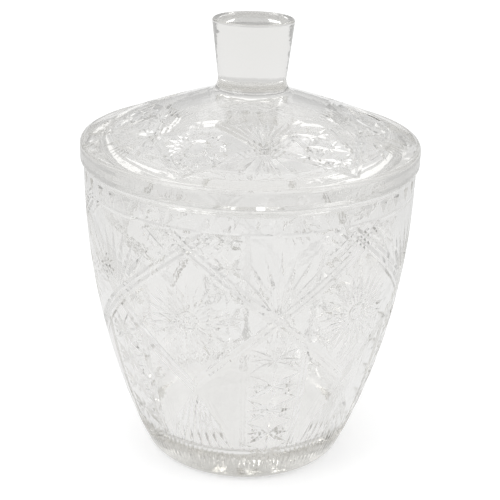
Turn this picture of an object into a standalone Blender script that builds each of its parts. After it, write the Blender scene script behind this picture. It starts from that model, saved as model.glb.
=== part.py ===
"""Covered powder jar in clear pressed glass, in metres, +Z up, standing on z = 0.

Two loose pieces: a deep bowl-shaped jar, and a domed lid with a solid knob. Each is a turned
outline spun about Z. The lid's object has its origin on the Z axis at the seat, which is where
its flange rests on the jar's rim, so lifting it is a move along its own Z.
"""

import math

import bmesh
import bpy

SEGMENTS = 64            # flat facets round each turned piece
SEAT_GAP = 0.0003        # clearance kept between the rim and the flange that rests on it

# Jar: the wall is one long arc, upright near the rim and drawn in towards the foot.
JAR_RADIUS = 0.055
JAR_HEIGHT = 0.1048
WALL_ARC_RADIUS = 0.243
WALL_UPRIGHT_Z = 0.098   # height at which the wall stands upright
WALL_THICKNESS = 0.005
FLOOR_THICKNESS = 0.0115
FLOOR_CORNER_RADIUS = 0.007
HEEL_RADIUS = 0.0055
RIM_ROUND = 0.0012

# Lid: a shallow dome with a flange that covers the rim and a ring that drops into the mouth.
LID_RADIUS = 0.056
FLANGE_EDGE_HEIGHT = 0.0051
FLANGE_ROUND = 0.0016
FLANGE_LOWER_ROUND = 0.0005
DOME_ARC_RADIUS = 0.410
DOME_CENTRE_X = -0.1069
DOME_CENTRE_Z = -0.3704  # below the seat
LID_THICKNESS = 0.005
RING_OUTER_RADIUS = 0.0492
RING_INNER_RADIUS = 0.0452
RING_DEPTH = 0.0041
RING_ROUND = 0.0008
HOLLOW_CORNER_RADIUS = 0.004
HOLLOW_FLAT_RADIUS = 0.008

# Knob: solid, wider at the top, with a coved foot.
KNOB_TOP_Z = 0.0452      # above the seat
KNOB_TOP_RADIUS = 0.0132
KNOB_WAIST_RADIUS = 0.0111
KNOB_FOOT_COVE = 0.005
KNOB_EDGE_ROUND = 0.0008
KNOB_TAPER = math.radians(6.5)

GLASS_COLOUR = (0.93, 0.94, 0.92, 1.0)
GLASS_ROUGHNESS = 0.04
GLASS_INDEX = 1.5
SHARP_ANGLE = math.radians(35)


def clear_scene():
    for old in list(bpy.data.objects):
        bpy.data.objects.remove(old, do_unlink=True)


def arc(centre_x, centre_z, radius, start, end, steps):
    """Points (x, z) on an arc from angle start to angle end, both ends included."""
    angles = [start + (end - start) * step / steps for step in range(steps + 1)]
    return [(centre_x + radius * math.cos(a), centre_z + radius * math.sin(a)) for a in angles]


def glass(name):
    material = bpy.data.materials.new(name)
    material.use_nodes = True
    shader = material.node_tree.nodes["Principled BSDF"]
    shader.inputs["Base Color"].default_value = GLASS_COLOUR
    shader.inputs["Roughness"].default_value = GLASS_ROUGHNESS
    shader.inputs["Metallic"].default_value = 0.0
    shader.inputs["IOR"].default_value = GLASS_INDEX
    shader.inputs["Transmission Weight"].default_value = 1.0
    return material


def turned(name, outline, material):
    """A closed solid: the outline, from one point on the Z axis to another, spun about Z."""
    form = bmesh.new()
    points = [form.verts.new((x, 0.0, z)) for x, z in outline]
    edges = [form.edges.new(pair) for pair in zip(points, points[1:])]
    bmesh.ops.spin(form, geom=points + edges, cent=(0, 0, 0), axis=(0, 0, 1),
                   angle=math.tau, steps=SEGMENTS, use_merge=True)
    bmesh.ops.remove_doubles(form, verts=form.verts, dist=1e-6)
    bmesh.ops.recalc_face_normals(form, faces=form.faces)
    mesh = bpy.data.meshes.new(name)
    form.to_mesh(mesh)
    form.free()
    mesh.shade_smooth()
    mesh.set_sharp_from_angle(angle=SHARP_ANGLE)
    mesh.materials.append(material)
    piece = bpy.data.objects.new(name, mesh)
    bpy.context.collection.objects.link(piece)
    return piece


def jar_outline():
    """From the middle of the floor, up inside, over the rim, down outside to under the foot."""
    arc_x = JAR_RADIUS - WALL_ARC_RADIUS
    inner_arc_radius = WALL_ARC_RADIUS - WALL_THICKNESS
    round_z = JAR_HEIGHT - RIM_ROUND
    rise = round_z - WALL_UPRIGHT_Z

    corner_z = FLOOR_THICKNESS + FLOOR_CORNER_RADIUS
    corner_reach = inner_arc_radius - FLOOR_CORNER_RADIUS
    corner_angle = math.asin((corner_z - WALL_UPRIGHT_Z) / corner_reach)
    corner_x = arc_x + corner_reach * math.cos(corner_angle)

    heel_reach = WALL_ARC_RADIUS - HEEL_RADIUS
    heel_angle = math.asin((HEEL_RADIUS - WALL_UPRIGHT_Z) / heel_reach)
    heel_x = arc_x + heel_reach * math.cos(heel_angle)

    inner_top = math.asin(rise / inner_arc_radius)
    outer_top = math.asin(rise / WALL_ARC_RADIUS)
    inner_rim_x = arc_x + inner_arc_radius * math.cos(inner_top) + RIM_ROUND
    outer_rim_x = arc_x + WALL_ARC_RADIUS * math.cos(outer_top) - RIM_ROUND
    quarter = math.pi / 2

    outline = [(0.0, FLOOR_THICKNESS)]
    outline += arc(corner_x, corner_z, FLOOR_CORNER_RADIUS, -quarter, corner_angle, 6)
    outline += arc(arc_x, WALL_UPRIGHT_Z, inner_arc_radius, corner_angle, inner_top, 7)[1:]
    outline += arc(inner_rim_x, round_z, RIM_ROUND, math.pi, quarter, 3)[1:]
    outline += arc(outer_rim_x, round_z, RIM_ROUND, quarter, 0.0, 3)
    outline += arc(arc_x, WALL_UPRIGHT_Z, WALL_ARC_RADIUS, outer_top, heel_angle, 9)[1:]
    outline += arc(heel_x, HEEL_RADIUS, HEEL_RADIUS, heel_angle, -quarter, 4)[1:]
    outline.append((0.0, 0.0))
    return outline


def knob_outline():
    """Over the flat top, down the tapered side and round the cove, to where the dome starts."""
    cove_x = KNOB_WAIST_RADIUS + KNOB_FOOT_COVE
    cove_reach = DOME_ARC_RADIUS + KNOB_FOOT_COVE
    across = cove_x - DOME_CENTRE_X
    up = math.sqrt(cove_reach**2 - across**2)
    towards_dome = math.pi + math.atan2(up, across)
    outline = [(0.0, KNOB_TOP_Z)]
    outline += arc(KNOB_TOP_RADIUS - KNOB_EDGE_ROUND, KNOB_TOP_Z - KNOB_EDGE_ROUND,
                   KNOB_EDGE_ROUND, math.pi / 2, -KNOB_TAPER, 3)
    outline += arc(cove_x, DOME_CENTRE_Z + up, KNOB_FOOT_COVE,
                   math.pi - KNOB_TAPER, towards_dome, 5)
    return outline


def flange_outline(dome_end_x):
    """Round the lid's edge, from the dome's outer end down to the flat underside."""
    round_x = LID_RADIUS - FLANGE_ROUND
    lift = math.sqrt(DOME_ARC_RADIUS**2 - (dome_end_x - DOME_CENTRE_X)**2) + DOME_CENTRE_Z
    start = math.asin((lift - FLANGE_EDGE_HEIGHT) / FLANGE_ROUND)
    outline = arc(round_x, FLANGE_EDGE_HEIGHT, FLANGE_ROUND, start, 0.0, 4)
    outline += arc(LID_RADIUS - FLANGE_LOWER_ROUND, FLANGE_LOWER_ROUND, FLANGE_LOWER_ROUND,
                   0.0, -math.pi / 2, 2)
    return outline


def lid_outline():
    """From the middle of the knob's top, out over the dome and back in under it."""
    knob = knob_outline()
    dome_start_x = knob[-1][0]
    dome_end_x = LID_RADIUS - FLANGE_ROUND
    start = math.acos((dome_start_x - DOME_CENTRE_X) / DOME_ARC_RADIUS)
    end = math.acos((dome_end_x - DOME_CENTRE_X) / DOME_ARC_RADIUS)

    under_radius = DOME_ARC_RADIUS - LID_THICKNESS
    corner_x = RING_INNER_RADIUS - HOLLOW_CORNER_RADIUS
    corner_reach = under_radius - HOLLOW_CORNER_RADIUS
    corner_angle = math.acos((corner_x - DOME_CENTRE_X) / corner_reach)
    corner_z = DOME_CENTRE_Z + corner_reach * math.sin(corner_angle)
    flat_angle = math.acos((HOLLOW_FLAT_RADIUS - DOME_CENTRE_X) / under_radius)

    outline = knob
    outline += arc(DOME_CENTRE_X, DOME_CENTRE_Z, DOME_ARC_RADIUS, start, end, 6)[1:-1]
    outline += flange_outline(dome_end_x)
    outline.append((RING_OUTER_RADIUS, 0.0))
    outline += arc(RING_OUTER_RADIUS - RING_ROUND, RING_ROUND - RING_DEPTH, RING_ROUND,
                   0.0, -math.pi / 2, 2)
    outline += arc(RING_INNER_RADIUS + RING_ROUND, RING_ROUND - RING_DEPTH, RING_ROUND,
                   -math.pi / 2, -math.pi, 2)
    outline += arc(corner_x, corner_z, HOLLOW_CORNER_RADIUS, 0.0, corner_angle, 4)
    outline += arc(DOME_CENTRE_X, DOME_CENTRE_Z, under_radius, corner_angle, flat_angle, 4)[1:]
    outline.append((0.0, outline[-1][1]))
    return outline


def make_jar():
    return turned("jar", jar_outline(), glass("jar_glass"))


def make_lid(jar):
    lid = turned("lid", lid_outline(), glass("lid_glass"))
    lid.parent = jar
    lid.location = (0.0, 0.0, JAR_HEIGHT + SEAT_GAP)
    return lid


clear_scene()
make_lid(make_jar())
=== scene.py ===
"""Looks of the covered powder jar: clear pressed glass with a cut-style relief and a solid knob.

Lengths are in millimetres until a mesh is made, when they become metres. The big diagonal grooves
cross six times round each piece, and the relief mirrors about each plane halfway between two
crossings. The jar's also mirrors about the plane through each crossing. On the lid, rosettes and
rows of stars take turns between the crossings. So a piece is built from slices 30 degrees wide. A
slice has turned stretches of the outline and one pressed stretch, whose cuts are drawn flat, made
into triangles that follow every edge of every cut, and then wrapped onto the turned surface.
"""

import math

import bpy
import numpy as np
from mathutils import Matrix, Vector
from mathutils.geometry import delaunay_2d_cdt


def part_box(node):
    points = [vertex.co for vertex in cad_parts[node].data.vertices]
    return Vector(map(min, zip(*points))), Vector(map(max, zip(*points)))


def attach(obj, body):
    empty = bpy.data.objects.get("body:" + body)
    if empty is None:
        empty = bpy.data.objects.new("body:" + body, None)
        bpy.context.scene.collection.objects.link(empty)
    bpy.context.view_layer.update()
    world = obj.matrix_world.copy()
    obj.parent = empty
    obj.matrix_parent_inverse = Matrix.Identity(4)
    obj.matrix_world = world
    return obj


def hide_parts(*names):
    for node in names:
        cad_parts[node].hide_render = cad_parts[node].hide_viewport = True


MM = 0.001

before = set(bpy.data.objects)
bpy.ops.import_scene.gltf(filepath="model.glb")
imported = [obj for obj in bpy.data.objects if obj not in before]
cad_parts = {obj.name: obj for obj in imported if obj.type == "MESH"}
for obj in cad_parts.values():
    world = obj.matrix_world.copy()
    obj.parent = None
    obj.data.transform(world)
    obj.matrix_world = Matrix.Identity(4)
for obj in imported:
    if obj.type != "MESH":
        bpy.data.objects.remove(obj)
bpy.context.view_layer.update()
JAR_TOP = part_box("jar")[1].z / MM
JAR_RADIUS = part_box("jar")[1].x / MM
LID_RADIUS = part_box("lid")[1].x / MM
KNOB_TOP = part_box("lid")[1].z / MM
SEAT_GAP = 0.3
SEAT = JAR_TOP + SEAT_GAP         # underside of the lid's flange, just clear of the rim

# Jar outline
WALL_ARC = 243.0
WALL_UPRIGHT = 98.0
WALL_THICKNESS = 5.0
FLOOR_THICKNESS = 11.5
FLOOR_CORNER = 7.0
HEEL = 5.5
RIM_ROUND = 1.2
WALL_ARC_X = JAR_RADIUS - WALL_ARC

# Lid outline
DOME_ARC = 410.0
DOME_X = -106.9
DOME_Z = SEAT - 370.4
LID_THICKNESS = 5.0
EDGE_HEIGHT = 5.1
EDGE_ROUND = 1.6
EDGE_LOWER_ROUND = 0.5
RING_OUTER = 49.2
RING_INNER = 45.2
RING_DEPTH = 4.1
RING_ROUND = 0.8
HOLLOW_CORNER = 4.0
HOLLOW_FLAT = 8.0
KNOB_RADIUS = 13.2
KNOB_WAIST = 11.1
KNOB_COVE = 5.0
KNOB_EDGE = 0.8
KNOB_TAPER = 6.5                  # degrees

# Slices
SLICE_ANGLE = math.radians(30)
COLUMNS = 16                      # turned facets across a slice
JAR_TURN = math.radians(10.6)     # where the front crossing stands, from -Y towards +X
LID_TURN = math.radians(6.3)
FLAT_RADIUS = 50.0                # the wall's relief is drawn at this radius
SLICE_WIDTH = FLAT_RADIUS * SLICE_ANGLE

# Triangles
WIRE_LENGTH = 2.6                 # longest stretch of a cut's edge
GRID = 2.3                        # spacing of points where nothing is cut
GRID_CLEAR = 0.8                  # how near such a point may be to a cut's edge
MISS = 0.05                       # how far a triangle may miss the cuts before it is split
REFINES = 2
POINTS_AT_ONCE = 1000
HAIR = 1e-6                       # radians
NO_AREA = 1e-6                    # a facet this small is left out
PLACES = 6                        # decimals by which flat points are told apart
MERGE = 1e-5                      # flat points nearer than this are one
WELD_PLACES = 5                   # decimals by which points in space are told apart
FAN_FILL = 0.95                   # how much of its share of a fan a spindle takes


# ---- Cuts, drawn flat. A cut is a set of facets: triangles of (across, along, depth) ----

def groove(start, end, stations):
    """A V groove: at each (share of the way, half width, depth) it is that wide and deep."""
    start, end = np.array(start, float), np.array(end, float)
    way = (end - start) / np.linalg.norm(end - start)
    side = np.array((-way[1], way[0]))
    facets = []
    rows = []
    for share, half_width, depth in stations:
        spine = start + share * (end - start)
        rows.append([(*(spine + side * half_width), 0.0), (*spine, depth),
                     (*(spine - side * half_width), 0.0)])
    for (left, mid, right), (left2, mid2, right2) in zip(rows, rows[1:]):
        facets += [(mid, left, left2), (mid, left2, mid2), (mid, mid2, right2), (mid, right2, right)]
    return facets


def channel(start, end, half_width, depth):
    """A straight V groove of even width with short pointed ends."""
    length = math.dist(start, end)
    tip = min(0.45, half_width / length)
    return groove(start, end, [(0, 0, 0), (tip, half_width, depth),
                               (1 - tip, half_width, depth), (1, 0, 0)])


def spindle(start, end, half_width, depth, widest=0.6):
    """A V groove that is pointed at both ends and widest part of the way along."""
    return groove(start, end, [(0, 0, 0), (widest, half_width, depth), (1, 0, 0)])


def around(centre, angle, distance):
    """The point that far from centre; angle in degrees."""
    turn = math.radians(angle)
    return centre[0] + distance * math.cos(turn), centre[1] + distance * math.sin(turn)


def fan(centre, aim, spread, count, near, far, depth, widest):
    """Spindles that fan out from centre, spread degrees to each side of aim."""
    slot = 2 * spread / count
    facets = []
    for k in range(count):
        angle = aim - spread + slot * (k + 0.5)
        reach = near + widest * (far - near)
        half_width = FAN_FILL * reach * math.tan(math.radians(slot / 2))
        facets += spindle(around(centre, angle, near), around(centre, angle, far),
                          half_width, depth, widest)
    return facets


def dished(centre, rings, count):
    """A round cut: at each (radius, depth) a ring of that depth; the first ring is the middle."""
    facets = []
    for (radius, depth), (radius2, depth2) in zip(rings, rings[1:]):
        for k in range(count):
            angle, angle2 = 360 * k / count, 360 * (k + 1) / count
            inner = (*around(centre, angle, radius), depth)
            inner2 = (*around(centre, angle2, radius), depth)
            outer = (*around(centre, angle, radius2), depth2)
            outer2 = (*around(centre, angle2, radius2), depth2)
            facets += [(inner, outer, outer2), (inner, outer2, inner2)]
    return facets


def rosette(centre, button, collar, reach, count, depth):
    """A round raised button in a ring of short cuts and a ring of long spikes.

    reach is how far the spikes go along x and along y."""
    facets = dished(centre, [(0, 0), (0.55 * button, 0.12 * depth), (0.85 * button, 0.5 * depth),
                             (button, depth), (1.15 * button, 0.0)], count)
    slot = 360 / count
    for k in range(count):
        angle = slot * (k + 0.5)
        half_width = 0.92 * collar * math.tan(math.radians(slot / 2))
        facets += spindle(around(centre, angle, 1.15 * button), around(centre, angle, 1.3 * collar),
                          0.8 * half_width, 0.7 * depth, 0.62)
        off = math.radians(slot * k)
        far = math.hypot(reach[0] * math.cos(off), reach[1] * math.sin(off))
        angle = slot * k
        facets += spindle(around(centre, angle, collar), around(centre, angle, far),
                          half_width, depth, 0.4)
    return facets


# ---- Reading and triangulating the cuts ----

def read_cuts(points, cuts):
    """The depth of the deepest cut at each flat point, and that facet's slope there."""
    corner, ab, ac = cuts[:, 0], cuts[:, 1] - cuts[:, 0], cuts[:, 2] - cuts[:, 0]
    area = ab[:, 0] * ac[:, 1] - ab[:, 1] * ac[:, 0]
    slopes = np.column_stack((ab[:, 2] * ac[:, 1] - ac[:, 2] * ab[:, 1],
                              ac[:, 2] * ab[:, 0] - ab[:, 2] * ac[:, 0])) / area[:, None]
    slack = 1e-6
    depth, slope = np.zeros(len(points)), np.zeros((len(points), 2))
    for first in range(0, len(points), POINTS_AT_ONCE):
        some = slice(first, first + POINTS_AT_ONCE)
        offset = points[some, None, :] - corner[None, :, :2]
        s = (offset[..., 0] * ac[:, 1] - offset[..., 1] * ac[:, 0]) / area
        t = (ab[:, 0] * offset[..., 1] - ab[:, 1] * offset[..., 0]) / area
        inside = (s > -slack) & (t > -slack) & (s + t < 1 + slack)
        level = np.where(inside, corner[:, 2] + s * ab[:, 2] + t * ac[:, 2], 0.0)
        best = level.argmax(axis=1)
        depth[some] = level[np.arange(len(best)), best]
        slope[some] = np.where(depth[some, None] > slack, slopes[best], 0.0)
    return depth, slope


def solid_facets(facets):
    """The facets as an array, without those that have no area."""
    cuts = np.array(facets, float)
    ab, ac = cuts[:, 1] - cuts[:, 0], cuts[:, 2] - cuts[:, 0]
    return cuts[abs(ab[:, 0] * ac[:, 1] - ab[:, 1] * ac[:, 0]) > NO_AREA]


def wires(cuts, outline):
    """The outline's points, then the cuts' edges in short stretches: points and pairs."""
    points = [tuple(p) for p in outline]
    index = {tuple(np.round(p, PLACES)): k for k, p in enumerate(points)}
    pairs = {(k, (k + 1) % len(points)) for k in range(len(points))}
    seen = set()
    for facet in np.round(cuts[:, :, :2], PLACES):
        for a, b in ((0, 1), (1, 2), (2, 0)):
            ends = tuple(sorted((tuple(facet[a]), tuple(facet[b]))))
            if ends in seen:
                continue
            seen.add(ends)
            start, end = np.array(ends)
            steps = math.ceil(math.dist(start, end) / WIRE_LENGTH)
            chain = [tuple(np.round(start + (end - start) * k / steps, PLACES))
                     for k in range(steps + 1)]
            for point in chain:
                if point not in index:
                    index[point] = len(points)
                    points.append(point)
            pairs |= {(index[p], index[q]) for p, q in zip(chain, chain[1:])}
    return np.array(points), sorted(pairs)


def grid_points(cuts, points, pairs):
    """An even grid over the flat area, without the points in a cut or beside an edge."""
    low, high = points.min(axis=0), points.max(axis=0)
    rows = np.arange(low[1], high[1], GRID * math.sqrt(0.75))
    columns = np.arange(low[0], high[0], GRID)
    grid = np.array([(x + (k % 2) * GRID / 2, y) for k, y in enumerate(rows) for x in columns])
    grid = grid[read_cuts(grid, cuts)[0] == 0]
    start, end = points[[a for a, _ in pairs]], points[[b for _, b in pairs]]
    way = end - start
    share = ((grid[:, None] - start) * way).sum(axis=2) / (way**2).sum(axis=1)
    nearest = start + np.clip(share, 0, 1)[..., None] * way
    gaps = np.linalg.norm(grid[:, None] - nearest, axis=2).min(axis=1)
    return grid[gaps > GRID_CLEAR]


def triangulate(points, pairs, rim):
    """Triangles over the area inside the first rim points, which go round it."""
    result = delaunay_2d_cdt([Vector(p) for p in points], pairs, [list(range(rim))], 0, MERGE,
                             True)
    flat = np.array([tuple(v) for v in result[0]])
    for place, given in enumerate(result[3]):
        if given:
            flat[place] = points[min(given)]
    return flat, np.array([face for face, inputs in zip(result[2], result[5]) if inputs])


def pressed(facets, outline, surface):
    """A patch of the surface with the cuts in it: points, triangles, a normal at each corner.

    surface turns flat points into points and outward normals in space."""
    cuts = solid_facets(facets)
    points, pairs = wires(cuts, outline)
    points = np.vstack((points, grid_points(cuts, points, pairs)))
    for _ in range(REFINES):
        flat, faces = triangulate(points, pairs, len(outline))
        edges = np.unique(np.sort(faces[:, [0, 1, 1, 2, 2, 0]].reshape(-1, 2)), axis=0)
        middles = flat[edges].mean(axis=1)
        depth = read_cuts(flat, cuts)[0]
        missed = abs(read_cuts(middles, cuts)[0] - depth[edges].mean(axis=1)) > MISS
        points = np.vstack((points, middles[missed]))
    flat, faces = triangulate(points, pairs, len(outline))
    used, faces = np.unique(faces, return_inverse=True)
    flat, faces = flat[used], faces.reshape(-1, 3)

    depth = read_cuts(flat, cuts)[0]
    slope = read_cuts(flat[faces].mean(axis=1), cuts)[1]
    place, outward = surface(flat)
    step = 1e-3
    across = (surface(flat + (step, 0))[0] - surface(flat - (step, 0))[0]) / (2 * step)
    along = (surface(flat + (0, step))[0] - surface(flat - (0, step))[0]) / (2 * step)
    metric = np.stack((np.stack(((across**2).sum(1), (across * along).sum(1)), 1),
                       np.stack(((across * along).sum(1), (along**2).sum(1)), 1)), 1)
    tangents = np.stack((across, along), 2) @ np.linalg.inv(metric)
    lean = np.einsum("fcij,fj->fci", tangents[faces], slope)
    normals = outward[faces] + lean
    normals /= np.linalg.norm(normals, axis=2, keepdims=True)
    return facing_out(place - depth[:, None] * outward, faces, normals)


def facing_out(points, faces, normals):
    """The patch with its triangles wound so that they face the way its normals do."""
    a, b, c = (points[faces[:, k]] for k in range(3))
    if (np.cross(b - a, c - a) * normals[:, 0]).sum() < 0:
        faces, normals = faces[:, ::-1], normals[:, ::-1]
    return points, faces, normals


# ---- Turned outlines ----

def arc(centre, radius, start, end, steps, hollow=False):
    """A round stretch of outline, angles in degrees: points (x, z) and outward normals."""
    angles = np.radians(np.linspace(start, end, steps + 1))
    spokes = np.column_stack((np.cos(angles), np.sin(angles)))
    return np.array(centre) + radius * spokes, -spokes if hollow else spokes


def line(start, end, steps=1):
    """A straight stretch; the glass is on its right, seen along the way it runs."""
    start, end = np.array(start, float), np.array(end, float)
    way = (end - start) / np.linalg.norm(end - start)
    points = start + np.linspace(0, 1, steps + 1)[:, None] * (end - start)
    return points, np.tile((-way[1], way[0]), (steps + 1, 1))


def in_space(radius, angle, z):
    """Points in a slice, whose first plane stands at -Y and whose second is towards +X."""
    return np.stack((radius * np.sin(angle), -radius * np.cos(angle), z), axis=-1)


def turned(stretch):
    """The patch that a stretch of outline sweeps across a slice."""
    outline, normals = stretch
    angles = SLICE_ANGLE * np.arange(COLUMNS + 1) / COLUMNS
    points = in_space(outline[:, :1], angles[None], outline[:, 1:] + 0 * angles[None])
    outward = in_space(normals[:, :1], angles[None], normals[:, 1:] + 0 * angles[None])
    ids = np.arange(len(outline) * (COLUMNS + 1)).reshape(len(outline), -1)
    a, b, c, d = ids[:-1, :-1], ids[1:, :-1], ids[1:, 1:], ids[:-1, 1:]
    faces = np.concatenate([np.stack(f, -1).reshape(-1, 3) for f in ((a, b, c), (a, c, d))])
    return points.reshape(-1, 3), faces, outward.reshape(-1, 3)[faces]


def whole(angle):
    """Angles within a hair of the slice's two planes, put exactly on them."""
    angle = np.where(abs(angle) < HAIR, 0.0, angle)
    return np.where(abs(angle - SLICE_ANGLE) < HAIR, SLICE_ANGLE, angle)


def on_wall(flat):
    """The jar's outer wall: flat points are (arc length at FLAT_RADIUS, height)."""
    rise = flat[:, 1] - WALL_UPRIGHT
    reach = np.sqrt(WALL_ARC**2 - rise**2)
    angle = whole(flat[:, 0] / FLAT_RADIUS)
    return (in_space(WALL_ARC_X + reach, angle, flat[:, 1]),
            in_space(reach / WALL_ARC, angle, rise / WALL_ARC))


def on_dome(flat):
    """The lid's dome: flat points are its plan, with the slice's first plane along x."""
    radius, angle = np.hypot(*flat.T), whole(np.arctan2(flat[:, 1], flat[:, 0]))
    reach = radius - DOME_X
    rise = np.sqrt(DOME_ARC**2 - reach**2)
    return (in_space(radius, angle, DOME_Z + rise),
            in_space(reach / DOME_ARC, angle, rise / DOME_ARC))


def wall_outline(low, high):
    """The edge of a slice of wall, with a point at each turned column."""
    across = SLICE_WIDTH * np.arange(COLUMNS + 1) / COLUMNS
    return [(x, low) for x in across] + [(x, high) for x in across[::-1]]


def plan_outline(inner, outer):
    """The edge of a slice in plan, with a point at each turned column."""
    angles = SLICE_ANGLE * np.arange(COLUMNS + 1) / COLUMNS
    rim = [(outer * math.cos(a), outer * math.sin(a)) for a in angles]
    if inner == 0:
        return [(0.0, 0.0)] + rim
    return rim + [(inner * math.cos(a), inner * math.sin(a)) for a in angles[::-1]]


# ---- Pieces ----

def weld(slices):
    """Slices as one set of points, triangles and corner normals, with shared points joined."""
    points, faces, normals, count = [], [], [], 0
    for patches, angle, mirrored in slices:
        flip = -1 if mirrored else 1
        c, s = math.cos(angle), math.sin(angle)
        turn = np.array(((flip * c, -s, 0), (flip * s, c, 0), (0, 0, 1)))
        for place, corners, outward in patches:
            points.append(place @ turn.T)
            faces.append(corners[:, ::flip] + count)
            normals.append((outward @ turn.T)[:, ::flip])
            count += len(place)
    points, faces, normals = map(np.concatenate, (points, faces, normals))
    _, first, same = np.unique(np.round(points, WELD_PLACES) + 0.0, axis=0,
                               return_index=True, return_inverse=True)
    faces = same.reshape(-1)[faces]
    kept = ((faces[:, 0] != faces[:, 1]) & (faces[:, 1] != faces[:, 2])
            & (faces[:, 2] != faces[:, 0]))
    return points[first], faces[kept], normals[kept]


def make_piece(name, body, slices, material):
    """A mesh piece from slices, which stands for the CAD node of its body and rides on it."""
    points, faces, normals = weld(slices)
    mesh = bpy.data.meshes.new(name)
    mesh.from_pydata((points * MM).tolist(), [], faces.tolist())
    mesh.shade_smooth()
    mesh.normals_split_custom_set(normals.reshape(-1, 3).tolist())
    mesh.materials.append(material)
    piece = bpy.data.objects.new(name, mesh)
    bpy.context.scene.collection.objects.link(piece)
    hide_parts(body)
    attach(piece, body)
    return piece


# ---- Jar ----

CROSS_Z = 68.5                    # height of the big crossings
UPPER_Z = 91.3                    # where the grooves meet again above, halfway between crossings
LOWER_Z = 42.8                    # and where they meet below
RISE = (UPPER_Z - CROSS_Z) / SLICE_WIDTH
BIG_GROOVE = (1.0, 0.95, 0.45)    # half the spacing of a pair, half width and depth of each
LATTICE = 4.4                     # spacing of the lines above the upper meetings
LATTICE_TOP = 95.8
PANEL = 9.5                       # half the width of the star panel
PANEL_TOP = 57.0
PANEL_FOOT = 17.0
STARS = 5
STAR_PITCH = 10.1                 # from one star's middle to the next
FIRST_STAR = 14.2                 # how far the top star's middle is below the crossing
PIT_X = 5.6                       # where the pits beside a star's middle are
PIT_Z = 1.7
RIM_FLUTES = 4                    # in a slice
RIM_FLUTE_TOP = 103.3
RIM_FLUTE_TIP = 98.7
RIM_LINE = 97.3
HEEL_FLUTES = 12                  # in a slice; every other one is shorter
HEEL_FLUTE_TOP = 21
HEEL_FLUTE_FOOT = 5.6


def twin(start, end, offset, half_width, depth):
    """Two grooves side by side."""
    way = np.subtract(end, start) / math.dist(start, end)
    side = offset * np.array((-way[1], way[0]))
    return [facet for shift in (side, -side)
            for facet in channel(start + shift, end + shift, half_width, depth)]


def big_grooves():
    """The diagonal grooves that cross under the fan and meet above and below the diamonds."""
    cross = (0, CROSS_Z)
    facets = []
    for height, beyond in ((UPPER_Z, 4), (LOWER_Z, 3)):
        end = (SLICE_WIDTH, height)
        way = np.subtract(end, cross) / math.dist(end, cross)
        facets += twin(cross - 4 * way, end + beyond * way, *BIG_GROOVE)
    facets += twin((SLICE_WIDTH + 3, UPPER_Z - 3 * RISE), (SLICE_WIDTH - 6, UPPER_Z + 6 * RISE),
                   *BIG_GROOVE)
    return facets


def jar_fans():
    """The fan that stands on the crossing, and the one that hangs from the lower meeting."""
    lower = (SLICE_WIDTH, LOWER_Z - 1.5)
    facets = fan((0, CROSS_Z + 1), aim=90, spread=42, count=7, near=2.6, far=23, depth=0.8,
                 widest=0.42)
    facets += fan(lower, aim=-90, spread=22, count=5, near=2.4, far=27, depth=0.8, widest=0.62)
    for angle in (-116, -64):
        facets += spindle(around(lower, angle, 2.2), around(lower, angle, 27),
                          half_width=1.6, depth=0.9)
    return facets


def lattice():
    """Small squares above the upper meeting, from lines beside the big grooves."""
    run = (LATTICE_TOP - UPPER_Z) / RISE
    facets = []
    for k in (1, 2):
        foot = SLICE_WIDTH - LATTICE * k
        facets += channel((foot - LATTICE, UPPER_Z - RISE * LATTICE), (foot + run, LATTICE_TOP),
                          half_width=0.75, depth=0.5)
        start = SLICE_WIDTH - LATTICE * k / 2
        facets += channel((start, UPPER_Z - RISE * (SLICE_WIDTH - start)), (foot - run, LATTICE_TOP),
                          half_width=0.75, depth=0.5)
    return facets


def star_panel():
    """A column of stars under the crossing, between two upright grooves, with pits between rays."""
    facets = []
    corner_x, side_ray = PANEL - 1.2, PANEL - 1.4
    corner = math.degrees(math.atan2(STAR_PITCH / 2, corner_x))
    long_ray = math.hypot(STAR_PITCH / 2, corner_x) - 0.2
    for k in range(STARS):
        middle = (0.0, CROSS_Z - FIRST_STAR - STAR_PITCH * k)
        rays = [(0, side_ray), (180, side_ray), (90, STAR_PITCH / 2), (-90, STAR_PITCH / 2)]
        rays += [(angle, long_ray) for angle in (-corner, corner, 180 - corner, corner - 180)]
        if k == 0:                # the top star also reaches up towards the crossing
            rays += [(70, 9.5), (110, 9.5)]
        for angle, length in rays:
            facets += spindle(middle, around(middle, angle, length), half_width=1.05, depth=0.8,
                              widest=0.42)
        for x in (-PIT_X, PIT_X):
            for z in (-PIT_Z, PIT_Z):
                facets += dished((x, middle[1] + z), rings=[(0, 0.6), (0.8, 0)], count=6)
    for x in (-PANEL, PANEL):
        facets += twin((x, PANEL_TOP), (x, PANEL_FOOT), offset=0.7, half_width=0.65, depth=0.5)
    return facets


def rim_cuts():
    """Pointed flutes that hang from the rim, and the line under them."""
    facets = []
    pitch = SLICE_WIDTH / RIM_FLUTES
    flute = [(0, 0, 0), (0.12, 1.6, 1.1), (0.35, 1.45, 1.05), (1, 0, 0)]
    for k in range(RIM_FLUTES + 1):
        facets += groove((pitch * k, RIM_FLUTE_TOP), (pitch * k, RIM_FLUTE_TIP), flute)
    facets += channel((-4, RIM_LINE), (SLICE_WIDTH + 4, RIM_LINE), half_width=0.75, depth=0.16)
    return facets


def heel_cuts():
    """Close upright flutes round the thick foot."""
    facets = []
    pitch = SLICE_WIDTH / HEEL_FLUTES
    for k in range(HEEL_FLUTES + 1):
        facets += spindle((pitch * k, HEEL_FLUTE_TOP - 3 * (k % 2)), (pitch * k, HEEL_FLUTE_FOOT),
                          half_width=1.0, depth=0.5)
    return facets


def diamond_cuts():
    """The rosette in the middle of each diamond."""
    middle = (SLICE_WIDTH, (UPPER_Z + LOWER_Z) / 2)
    return rosette(middle, button=3.0, collar=6.6, reach=(14.0, 13.5), count=24, depth=0.45)


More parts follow.
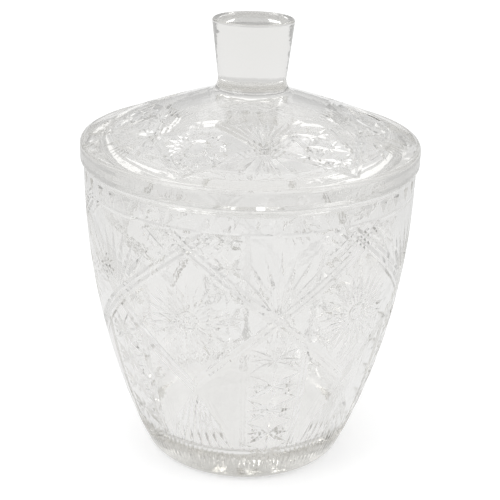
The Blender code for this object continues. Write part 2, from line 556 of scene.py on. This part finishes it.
def jar_slice():
    """The jar from the middle of its floor, up inside, over the rim and down to under the foot."""
    inner_arc = WALL_ARC - WALL_THICKNESS
    top = JAR_TOP - RIM_ROUND
    corner_reach = inner_arc - FLOOR_CORNER
    corner_z = FLOOR_THICKNESS + FLOOR_CORNER
    corner = math.degrees(math.asin((corner_z - WALL_UPRIGHT) / corner_reach))
    corner_x = WALL_ARC_X + math.sqrt(corner_reach**2 - (corner_z - WALL_UPRIGHT)**2)
    heel_reach = WALL_ARC - HEEL
    heel = math.degrees(math.asin((HEEL - WALL_UPRIGHT) / heel_reach))
    heel_x = WALL_ARC_X + math.sqrt(heel_reach**2 - (HEEL - WALL_UPRIGHT)**2)
    wall_low = HEEL + HEEL * math.sin(math.radians(heel))
    inner_top = math.degrees(math.asin((top - WALL_UPRIGHT) / inner_arc))
    inner_x = WALL_ARC_X + math.sqrt(inner_arc**2 - (top - WALL_UPRIGHT)**2) + RIM_ROUND
    outer_x = WALL_ARC_X + math.sqrt(WALL_ARC**2 - (top - WALL_UPRIGHT)**2) - RIM_ROUND
    cuts = (big_grooves() + jar_fans() + lattice() + star_panel() + rim_cuts() + heel_cuts()
            + diamond_cuts())
    return [
        turned(line((0, FLOOR_THICKNESS), (corner_x, FLOOR_THICKNESS), 6)),
        turned(arc((corner_x, corner_z), FLOOR_CORNER, -90, corner, 8, hollow=True)),
        turned(arc((WALL_ARC_X, WALL_UPRIGHT), inner_arc, corner, inner_top, 16, hollow=True)),
        turned(arc((inner_x, top), RIM_ROUND, 180, 90, 4)),
        turned(line((inner_x, JAR_TOP), (outer_x, JAR_TOP))),
        turned(arc((outer_x, top), RIM_ROUND, 90, 0, 4)),
        pressed(cuts, wall_outline(wall_low, top), on_wall),
        turned(arc((heel_x, HEEL), HEEL, heel, -90, 6)),
        turned(line((heel_x, 0), (0, 0), 6)),
    ]


def make_jar(material):
    one = jar_slice()
    slices = [(one, JAR_TURN + 2 * SLICE_ANGLE * k, mirrored)
              for k in range(6) for mirrored in (False, True)]
    return make_piece("pressed_jar", "jar", slices, material)


# ---- Lid ----

LID_CROSS = 38.6                  # distance of the crossings from the axis
LID_UPPER = 26.9                  # where the grooves meet again, nearer the knob
LID_LOWER = 52.1                  # and nearer the edge
LID_DIAMOND = 40.0                # middle of a diamond
LID_GROOVE = (0.9, 0.85, 0.45)    # half the spacing of a pair, half width and depth of each
ROW_PITCH = 6.15                  # from one star's middle to the next, outwards
ROW_WIDTH = 7.0                   # half the width of a row of stars
ROW_SHIFT = 0.2                   # how far the middle star is outside the diamond's middle
ROW_START = 30.8
ROW_END = 48.6


def lid_shared():
    """The big grooves and the fans either side of a crossing."""
    cross = (LID_CROSS, 0.0)
    half = math.degrees(SLICE_ANGLE)
    facets = []
    for end in (around((0, 0), half, LID_UPPER), around((0, 0), half, LID_LOWER)):
        way = np.subtract(end, cross) / math.dist(end, cross)
        facets += twin(cross - 3 * way, end + 1.2 * way, *LID_GROOVE)
    facets += fan((LID_CROSS - 1, 0), aim=180, spread=36, count=7, near=2.2, far=14.0, depth=0.5,
                  widest=0.6)
    facets += fan((LID_CROSS + 1, 0), aim=0, spread=26, count=5, near=2.0, far=12.8, depth=0.45,
                  widest=0.55)
    for angle in (-41, 41):
        facets += spindle(around(cross, angle, 4.0), around(cross, angle, 15.5),
                          half_width=1.3, depth=0.55)
    return facets


def turn_cuts(facets, angle):
    """Cuts drawn along x, turned about the axis by an angle in degrees."""
    c, s = math.cos(math.radians(angle)), math.sin(math.radians(angle))
    return [tuple((c * x - s * y, s * x + c * y, depth) for x, y, depth in f) for f in facets]


def lid_rosette():
    """The rosette in the middle of a diamond."""
    facets = rosette((LID_DIAMOND, 0.0), button=4.0, collar=6.6, reach=(9.0, 11.3), count=24,
                     depth=0.55)
    return turn_cuts(facets, math.degrees(SLICE_ANGLE))


def lid_chain():
    """Three stars in a row from the knob outwards, between two straight grooves."""
    facets = []
    corner_y, side_ray = ROW_WIDTH - 0.8, ROW_WIDTH - 1
    corner = math.degrees(math.atan2(corner_y, ROW_PITCH / 2))
    long_ray = math.hypot(ROW_PITCH / 2, corner_y)
    for k in (-1, 0, 1):
        middle = (LID_DIAMOND + ROW_SHIFT + ROW_PITCH * k, 0.0)
        rays = [(0, ROW_PITCH / 2), (180, ROW_PITCH / 2), (90, side_ray), (-90, side_ray)]
        rays += [(angle, long_ray) for angle in (-corner, corner, 180 - corner, corner - 180)]
        for angle, length in rays:
            facets += spindle(middle, around(middle, angle, length), half_width=0.75, depth=0.45,
                              widest=0.42)
    for side in (-ROW_WIDTH, ROW_WIDTH):
        facets += twin((ROW_START, side), (ROW_END, side), offset=0.5, half_width=0.45, depth=0.35)
    return turn_cuts(facets, math.degrees(SLICE_ANGLE))


def lid_slice(diamond):
    """The lid from the middle of the knob's top, out over the dome and back in underneath.

    diamond is the set of cuts that lies between two crossings."""
    cove_x = KNOB_WAIST + KNOB_COVE
    cove_rise = math.sqrt((DOME_ARC + KNOB_COVE)**2 - (cove_x - DOME_X)**2)
    cove_end = 180 + math.degrees(math.atan2(cove_rise, cove_x - DOME_X))
    cove = arc((cove_x, DOME_Z + cove_rise), KNOB_COVE, 180 - KNOB_TAPER, cove_end, 10, hollow=True)
    edge_x = LID_RADIUS - EDGE_ROUND
    edge_z = SEAT + EDGE_HEIGHT
    edge_top = DOME_Z + math.sqrt(DOME_ARC**2 - (edge_x - DOME_X)**2)

    under = DOME_ARC - LID_THICKNESS
    corner_x = RING_INNER - HOLLOW_CORNER
    corner_reach = under - HOLLOW_CORNER
    corner = math.degrees(math.acos((corner_x - DOME_X) / corner_reach))
    corner_z = DOME_Z + corner_reach * math.sin(math.radians(corner))
    flat = math.degrees(math.acos((HOLLOW_FLAT - DOME_X) / under))
    flat_z = DOME_Z + under * math.sin(math.radians(flat))
    edge = arc((edge_x, edge_z), EDGE_ROUND, 90, 0, 6)
    edge[0][0] = (edge_x, edge_top)
    knob_edge = arc((KNOB_RADIUS - KNOB_EDGE, KNOB_TOP - KNOB_EDGE), KNOB_EDGE, 90, -KNOB_TAPER, 4)
    return [
        turned(line((0, KNOB_TOP), (KNOB_RADIUS - KNOB_EDGE, KNOB_TOP), 4)),
        turned(knob_edge),
        turned(line(knob_edge[0][-1], cove[0][0], 6)),
        turned(cove),
        pressed(lid_shared() + diamond, plan_outline(cove[0][-1][0], edge_x), on_dome),
        turned(edge),
        turned(line((LID_RADIUS, edge_z), (LID_RADIUS, SEAT + EDGE_LOWER_ROUND), 2)),
        turned(arc((LID_RADIUS - EDGE_LOWER_ROUND, SEAT + EDGE_LOWER_ROUND), EDGE_LOWER_ROUND,
                   0, -90, 3)),
        turned(line((LID_RADIUS - EDGE_LOWER_ROUND, SEAT), (RING_OUTER, SEAT), 2)),
        turned(line((RING_OUTER, SEAT), (RING_OUTER, SEAT - RING_DEPTH + RING_ROUND), 2)),
        turned(arc((RING_OUTER - RING_ROUND, SEAT - RING_DEPTH + RING_ROUND), RING_ROUND, 0, -90, 3)),
        turned(line((RING_OUTER - RING_ROUND, SEAT - RING_DEPTH),
                    (RING_INNER + RING_ROUND, SEAT - RING_DEPTH))),
        turned(arc((RING_INNER + RING_ROUND, SEAT - RING_DEPTH + RING_ROUND), RING_ROUND,
                   -90, -180, 3)),
        turned(line((RING_INNER, SEAT - RING_DEPTH + RING_ROUND), (RING_INNER, corner_z), 3)),
        turned(arc((corner_x, corner_z), HOLLOW_CORNER, 0, corner, 6, hollow=True)),
        turned(arc((DOME_X, DOME_Z), under, corner, flat, 12, hollow=True)),
        turned(line((HOLLOW_FLAT, flat_z), (0, flat_z), 2)),
    ]


def make_lid(material):
    kinds = (lid_slice(lid_chain()), lid_slice(lid_rosette()))
    slices = []
    for k in range(6):
        angle = LID_TURN + 2 * SLICE_ANGLE * k
        slices += [(kinds[k % 2], angle, False), (kinds[(k + 1) % 2], angle, True)]
    return make_piece("pressed_lid", "lid", slices, material)


# ---- Material ----

MOST_BOUNCES = 7.5                # a ray that has bounced more often than this passes straight on,
MOST_MIRRORINGS = 2.5             # and so does one that has been mirrored more often than this


def glass(name, seed):
    """Clear pressed glass: fire-polished, with faint waves and a trace of the mould's texture."""
    material = bpy.data.materials.new(name)
    material.use_nodes = True
    nodes, links = material.node_tree.nodes, material.node_tree.links
    shader, output = nodes["Principled BSDF"], nodes["Material Output"]
    shader.inputs["Metallic"].default_value = 0.0
    shader.inputs["IOR"].default_value = 1.5
    shader.inputs["Transmission Weight"].default_value = 1.0

    place = nodes.new("ShaderNodeTexCoord")
    shift = nodes.new("ShaderNodeMapping")
    shift.inputs["Location"].default_value = (seed, 2 * seed, 3 * seed)
    links.new(place.outputs["Object"], shift.inputs["Vector"])

    def noise(scale, detail):
        node = nodes.new("ShaderNodeTexNoise")
        node.inputs["Scale"].default_value = scale
        node.inputs["Detail"].default_value = detail
        links.new(shift.outputs["Vector"], node.inputs["Vector"])
        return node.outputs["Fac"]

    def ramp(source, stops):
        node = nodes.new("ShaderNodeValToRGB")
        for element, (position, colour) in zip(node.color_ramp.elements, stops):
            element.position = position
            element.color = (*colour, 1.0)
        links.new(source, node.inputs["Fac"])
        return node.outputs["Color"]

    tint = ramp(noise(scale=45, detail=3),
                [(0.35, (0.988, 0.986, 0.980)), (0.65, (1.0, 0.999, 0.995))])
    links.new(tint, shader.inputs["Base Color"])
    polish = ramp(noise(scale=180, detail=4), [(0.35, (0.012,) * 3), (0.7, (0.05,) * 3)])
    links.new(polish, shader.inputs["Roughness"])

    waves = nodes.new("ShaderNodeBump")
    waves.inputs["Strength"].default_value = 0.35
    waves.inputs["Distance"].default_value = 0.0004
    links.new(noise(scale=120, detail=2), waves.inputs["Height"])
    grain = nodes.new("ShaderNodeBump")
    grain.inputs["Strength"].default_value = 0.2
    grain.inputs["Distance"].default_value = 0.00006
    links.new(noise(scale=900, detail=3), grain.inputs["Height"])
    links.new(waves.outputs["Normal"], grain.inputs["Normal"])
    links.new(grain.outputs["Normal"], shader.inputs["Normal"])

    depth = nodes.new("ShaderNodeVolumeAbsorption")
    depth.inputs["Color"].default_value = (0.93, 0.927, 0.918, 1.0)
    depth.inputs["Density"].default_value = 70.0
    links.new(depth.outputs["Volume"], output.inputs["Volume"])

    path = nodes.new("ShaderNodeLightPath")

    def more_than(count, most):
        node = nodes.new("ShaderNodeMath")
        node.operation = "GREATER_THAN"
        links.new(path.outputs[count], node.inputs[0])
        node.inputs[1].default_value = most
        return node.outputs[0]

    def any_of(first, second):
        node = nodes.new("ShaderNodeMath")
        node.operation = "MAXIMUM"
        links.new(first, node.inputs[0])
        links.new(second, node.inputs[1])
        return node.outputs[0]

    either = any_of(more_than("Glossy Depth", MOST_MIRRORINGS), more_than("Ray Depth", MOST_BOUNCES))
    straight = nodes.new("ShaderNodeBsdfTransparent")
    choice = nodes.new("ShaderNodeMixShader")
    links.new(either, choice.inputs[0])
    links.new(shader.outputs[0], choice.inputs[1])
    links.new(straight.outputs[0], choice.inputs[2])
    links.new(choice.outputs[0], output.inputs["Surface"])
    return material


# ---- Stage ----

# Painted light of the floor as the glass shows it (an emission, not lit by the lamps): distance from
# the jar's axis in metres, and brightness.
PATCH = ((0.1, 0.90), (0.45, 0.74), (1.0, 0.94))
# Light of the studio as the glass shows it: sine of the height above the horizon, and brightness.
STUDIO = ((0.0, 0.42), (0.5, 0.85))
SHEET_SIZE = 40.0                 # metres
SHEET_GAP = 0.0002                # the floor lies this far under the jar's foot, in metres

CAMERA_PLACE = (0, -0.3472, 0.2119)
CAMERA_LENS = 78.24
CAMERA_SHIFT = (0.0045, -0.0013)
CAMERA_DOWN = 0.3857              # radians below the horizon
CAMERA_ROLL = 0.0258


def make_floor():
    """A wide sheet, white seen directly. In the glass it shows PATCH instead, a glow of painted light
    and painted shade: bright, dimmer, bright again.
    """
    bpy.ops.mesh.primitive_plane_add(size=SHEET_SIZE, location=(0, 0, -SHEET_GAP))
    floor = bpy.context.object
    floor.name = "floor"
    material = bpy.data.materials.new("pale_floor")
    material.use_nodes = True
    nodes, links = material.node_tree.nodes, material.node_tree.links
    sheet = nodes["Principled BSDF"]
    sheet.inputs["Base Color"].default_value = (0.85, 0.85, 0.85, 1.0)
    sheet.inputs["Roughness"].default_value = 0.9
    sheet.inputs["Specular IOR Level"].default_value = 0.0
    sheet.inputs["Emission Color"].default_value = (1, 1, 1, 1)
    sheet.inputs["Emission Strength"].default_value = 0.4

    place = nodes.new("ShaderNodeTexCoord")
    distance = nodes.new("ShaderNodeVectorMath")
    distance.operation = "LENGTH"
    links.new(place.outputs["Object"], distance.inputs[0])
    painted_light_ramp = nodes.new("ShaderNodeValToRGB")
    painted_light_ramp.color_ramp.interpolation = "EASE"
    painted_light_ramp.color_ramp.elements.new(0.5)
    for element, (radius, light) in zip(painted_light_ramp.color_ramp.elements, PATCH):
        element.position = radius
        element.color = (light, light, light, 1.0)
    links.new(distance.outputs["Value"], painted_light_ramp.inputs["Fac"])
    # painted light: the floor glows brighter by the jar and dimmer further out, in place of the lit
    # sheet, for every ray but the camera's
    patch = nodes.new("ShaderNodeEmission")
    links.new(painted_light_ramp.outputs["Color"], patch.inputs["Color"])

    path = nodes.new("ShaderNodeLightPath")
    choice = nodes.new("ShaderNodeMixShader")
    links.new(path.outputs["Is Camera Ray"], choice.inputs[0])
    links.new(patch.outputs[0], choice.inputs[1])
    links.new(sheet.outputs[0], choice.inputs[2])
    links.new(choice.outputs[0], nodes["Material Output"].inputs["Surface"])
    floor.data.materials.append(material)


def make_world():
    """Pale studio all round, plain white seen directly, and greyer towards the horizon in glass."""
    world = bpy.data.worlds.new("studio")
    bpy.context.scene.world = world
    world.use_nodes = True
    nodes, links = world.node_tree.nodes, world.node_tree.links
    place = nodes.new("ShaderNodeTexCoord")
    split = nodes.new("ShaderNodeSeparateXYZ")
    links.new(place.outputs["Generated"], split.inputs["Vector"])
    ramp = nodes.new("ShaderNodeValToRGB")
    for element, (height, light) in zip(ramp.color_ramp.elements, STUDIO):
        element.position = height
        element.color = (light, light, light, 1.0)
    links.new(split.outputs["Z"], ramp.inputs["Fac"])
    around_jar = nodes["Background"]
    links.new(ramp.outputs["Color"], around_jar.inputs["Color"])
    backdrop = nodes.new("ShaderNodeBackground")
    backdrop.inputs["Color"].default_value = (1.0, 1.0, 1.0, 1.0)
    path = nodes.new("ShaderNodeLightPath")
    choice = nodes.new("ShaderNodeMixShader")
    links.new(path.outputs["Is Camera Ray"], choice.inputs[0])
    links.new(around_jar.outputs[0], choice.inputs[1])
    links.new(backdrop.outputs[0], choice.inputs[2])
    links.new(choice.outputs[0], nodes["World Output"].inputs["Surface"])


def add_light(name, place, aim, size, power):
    """A soft light at place, turned towards aim, in metres and watts."""
    data = bpy.data.lights.new(name, "AREA")
    data.shape = "RECTANGLE"
    data.size, data.size_y = size
    data.energy = power
    light = bpy.data.objects.new(name, data)
    light.location = place
    light.rotation_euler = (Vector(aim) - Vector(place)).to_track_quat("-Z", "Y").to_euler()
    bpy.context.scene.collection.objects.link(light)


def make_camera():
    data = bpy.data.cameras.new("camera")
    data.lens = CAMERA_LENS
    data.shift_x, data.shift_y = CAMERA_SHIFT
    camera = bpy.data.objects.new("camera", data)
    camera.matrix_world = (Matrix.Translation(CAMERA_PLACE)
                           @ Matrix.Rotation(math.pi / 2 - CAMERA_DOWN, 4, "X")
                           @ Matrix.Rotation(CAMERA_ROLL, 4, "Z"))
    bpy.context.scene.collection.objects.link(camera)
    bpy.context.scene.camera = camera


make_camera()
make_floor()
make_world()
add_light("key_light", (-0.8, -0.6, 0.9), aim=(0, 0, 0.08), size=(0.6, 0.8), power=3.0)
add_light("fill_light", (0.9, -0.5, 0.8), aim=(0, 0, 0.08), size=(0.5, 0.6), power=1.4)
add_light("back_light", (0.1, 0.9, 1.1), aim=(0, 0, 0.10), size=(1.0, 0.4), power=0.5)
make_jar(glass("pressed_jar_glass", seed=0.0))
make_lid(glass("pressed_lid_glass", seed=7.0))
bpy.context.scene.view_settings.view_transform = "Standard"
